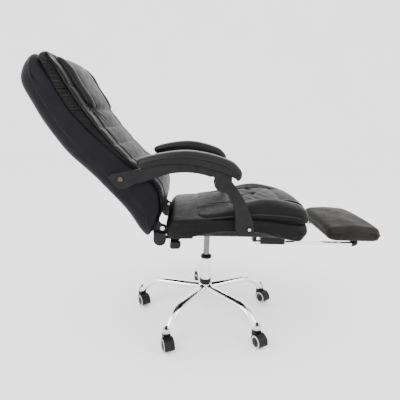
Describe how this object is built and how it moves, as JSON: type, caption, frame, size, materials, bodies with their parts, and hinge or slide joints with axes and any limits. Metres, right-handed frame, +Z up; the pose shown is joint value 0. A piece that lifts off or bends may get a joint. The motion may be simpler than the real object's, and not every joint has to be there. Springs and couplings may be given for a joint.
{
  "type": "reclining office chair",
  "caption": "Padded swivel office chair with a reclining back, linked arms that follow it and a footrest that slides out from under the seat, on a five-legged castered base.",
  "frame": {"origin": "on the floor, on the column's axis, where the base stands", "axes": "+X the chair's front and the way the footrest slides out, +Y the sitter's left, +Z up"},
  "size_m": [1.457, 0.6855, 1.149],
  "materials": {
    "chrome": "polished",
    "steel": "zinc-plated",
    "black_steel": "satin powder coat",
    "black_plastic": "satin moulded",
    "tread": "smooth grey polyurethane",
    "plywood": "bare moulded plywood",
    "black_leather": "black bonded leather over foam, semi-gloss"
  },
  "bodies": {
    "base": {"star_base": "chrome", "gas_lift_tube": "chrome", "gas_lift_rings": "black_plastic"},
    "lift": {"gas_lift_piston": "chrome"},
    "seat": {"tilt_mechanism": "black_steel", "mechanism_screws": "steel", "seat_board": "plywood", "seat_cushion": "black_leather", "seat_top_pad": "black_leather", "seat_hinge_plates": "black_steel", "hinge_pins": "steel", "strut_bolts": "steel", "footrest_guide_right": "black_plastic", "footrest_guide_left": "black_plastic"},
    "height_control": {"height_lever": "black_steel", "height_lever_grip": "black_plastic"},
    "recline_control": {"recline_rod": "steel", "recline_lever": "black_plastic"},
    "back": {"back_hinge_plates": "black_steel", "hinge_cover_right": "black_plastic", "hinge_cover_left": "black_plastic", "back_board": "plywood", "back_shell": "black_leather", "back_cushion": "black_leather", "headrest_pad": "black_leather", "arm_rear_bolts": "steel"},
    "footrest_slider": {"footrest_frame": "chrome"},
    "footrest_flap": {"footrest_clamps": "black_steel", "footrest_board": "plywood", "footrest_pad": "black_leather"},
    "strut_right": {"strut_right": "black_plastic", "knuckle_pin_right": "steel"},
    "arm_right": {"arm_frame_right": "black_plastic", "arm_pad_right": "black_leather"},
    "strut_left": {"strut_left": "black_plastic", "knuckle_pin_left": "steel"},
    "arm_left": {"arm_frame_left": "black_plastic", "arm_pad_left": "black_leather"},
    "caster_1": {"caster_hood_1": "black_plastic"},
    "wheel_left_1": {"caster_wheel_left_1": "tread"},
    "wheel_right_1": {"caster_wheel_right_1": "tread"},
    "caster_2": {"caster_hood_2": "black_plastic"},
    "wheel_left_2": {"caster_wheel_left_2": "tread"},
    "wheel_right_2": {"caster_wheel_right_2": "tread"},
    "caster_3": {"caster_hood_3": "black_plastic"},
    "wheel_left_3": {"caster_wheel_left_3": "tread"},
    "wheel_right_3": {"caster_wheel_right_3": "tread"},
    "caster_4": {"caster_hood_4": "black_plastic"},
    "wheel_left_4": {"caster_wheel_left_4": "tread"},
    "wheel_right_4": {"caster_wheel_right_4": "tread"},
    "caster_5": {"caster_hood_5": "black_plastic"},
    "wheel_left_5": {"caster_wheel_left_5": "tread"},
    "wheel_right_5": {"caster_wheel_right_5": "tread"}
  },
  "joints": [
    {"name": "seat_height", "type": "slide", "parent": "base", "child": "lift", "axis": [0, 0, 1], "range_m": [-0.09, 0]},
    {"name": "seat_swivel", "type": "hinge", "parent": "lift", "child": "seat", "pos_m": [0, 0, 0.45], "axis": [0, 0, 1], "continuous": true},
    {"name": "height_lever_lift", "type": "hinge", "parent": "seat", "child": "height_control", "pos_m": [0.03, 0.03, 0.447], "axis": [1, 0, 0], "range_deg": [0, 6], "stiffness_Nm_per_rad": 4},
    {"name": "recline_release", "type": "hinge", "parent": "seat", "child": "recline_control", "pos_m": [-0.146, 0, 0.434], "axis": [0, 1, 0], "range_deg": [-15, 0], "stiffness_Nm_per_rad": 1},
    {"name": "back_recline", "type": "hinge", "parent": "seat", "child": "back", "pos_m": [-0.195, 0, 0.505], "axis": [0, 1, 0], "range_deg": [0, 24]},
    {"name": "footrest_slide", "type": "slide", "parent": "seat", "child": "footrest_slider", "axis": [1, 0, 0], "range_m": [-0.295, 0]},
    {"name": "footrest_flip", "type": "hinge", "parent": "footrest_slider", "child": "footrest_flap", "pos_m": [0.655, 0, 0.43], "axis": [0, 1, 0], "range_deg": [0, 180]},
    {"name": "strut_tilt_right", "type": "hinge", "parent": "seat", "child": "strut_right", "pos_m": [0.146, -0.279, 0.531], "axis": [0, 1, 0], "range_deg": [0, 27.6]},
    {"name": "arm_knuckle_right", "type": "hinge", "parent": "strut_right", "child": "arm_right", "pos_m": [0.035, -0.279, 0.715], "axis": [0, 1, 0], "range_deg": [-25.7, 0]},
    {"name": "strut_tilt_left", "type": "hinge", "parent": "seat", "child": "strut_left", "pos_m": [0.146, 0.279, 0.531], "axis": [0, 1, 0], "range_deg": [0, 27.6]},
    {"name": "arm_knuckle_left", "type": "hinge", "parent": "strut_left", "child": "arm_left", "pos_m": [0.035, 0.279, 0.715], "axis": [0, 1, 0], "range_deg": [-25.7, 0]},
    {"name": "caster_swivel_1", "type": "hinge", "parent": "base", "child": "caster_1", "pos_m": [0.30363, 0.1267, 0.08], "axis": [0, 0, 1], "continuous": true},
    {"name": "wheel_spin_left_1", "type": "hinge", "parent": "caster_1", "child": "wheel_left_1", "pos_m": [0.31624, 0.10868, 0.027], "axis": [0.8192, 0.5736, 0], "continuous": true},
    {"name": "wheel_spin_right_1", "type": "hinge", "parent": "caster_1", "child": "wheel_right_1", "pos_m": [0.31624, 0.10868, 0.027], "axis": [0.8192, 0.5736, 0], "continuous": true},
    {"name": "caster_swivel_2", "type": "hinge", "parent": "base", "child": "caster_2", "pos_m": [-0.02667, 0.32792, 0.08], "axis": [0, 0, 1], "continuous": true},
    {"name": "wheel_spin_left_2", "type": "hinge", "parent": "caster_2", "child": "wheel_left_2", "pos_m": [-0.01634, 0.30849, 0.027], "axis": [0.8829, 0.4695, 0], "continuous": true},
    {"name": "wheel_spin_right_2", "type": "hinge", "parent": "caster_2", "child": "wheel_right_2", "pos_m": [-0.01634, 0.30849, 0.027], "axis": [0.8829, 0.4695, 0], "continuous": true},
    {"name": "caster_swivel_3", "type": "hinge", "parent": "base", "child": "caster_3", "pos_m": [-0.32011, 0.07597, 0.08], "axis": [0, 0, 1], "continuous": true},
    {"name": "wheel_spin_left_3", "type": "hinge", "parent": "caster_3", "child": "wheel_left_3", "pos_m": [-0.30845, 0.05731, 0.027], "axis": [0.848, 0.5299, 0], "continuous": true},
    {"name": "wheel_spin_right_3", "type": "hinge", "parent": "caster_3", "child": "wheel_right_3", "pos_m": [-0.30845, 0.05731, 0.027], "axis": [0.848, 0.5299, 0], "continuous": true},
    {"name": "caster_swivel_4", "type": "hinge", "parent": "base", "child": "caster_4", "pos_m": [-0.17117, -0.28097, 0.08], "axis": [0, 0, 1], "continuous": true},
    {"name": "wheel_spin_left_4", "type": "hinge", "parent": "caster_4", "child": "wheel_left_4", "pos_m": [-0.16328, -0.30151, 0.027], "axis": [0.9336, 0.3584, 0], "continuous": true},
    {"name": "wheel_spin_right_4", "type": "hinge", "parent": "caster_4", "child": "wheel_right_4", "pos_m": [-0.16328, -0.30151, 0.027], "axis": [0.9336, 0.3584, 0], "continuous": true},
    {"name": "caster_swivel_5", "type": "hinge", "parent": "base", "child": "caster_5", "pos_m": [0.21432, -0.24961, 0.08], "axis": [0, 0, 1], "continuous": true},
    {"name": "wheel_spin_left_5", "type": "hinge", "parent": "caster_5", "child": "wheel_left_5", "pos_m": [0.22431, -0.26921, 0.027], "axis": [0.891, 0.454, 0], "continuous": true},
    {"name": "wheel_spin_right_5", "type": "hinge", "parent": "caster_5", "child": "wheel_right_5", "pos_m": [0.22431, -0.26921, 0.027], "axis": [0.891, 0.454, 0], "continuous": true}
  ],
  "couplings": [
    {"joint": "footrest_flip", "follows": "footrest_slide", "rad_per_m": -10.649},
    {"joint": "strut_tilt_right", "follows": "back_recline", "ratio": 1.1427},
    {"joint": "arm_knuckle_right", "follows": "back_recline", "ratio": -1.0604},
    {"joint": "strut_tilt_left", "follows": "back_recline", "ratio": 1.1427},
    {"joint": "arm_knuckle_left", "follows": "back_recline", "ratio": -1.0604}
  ]
}
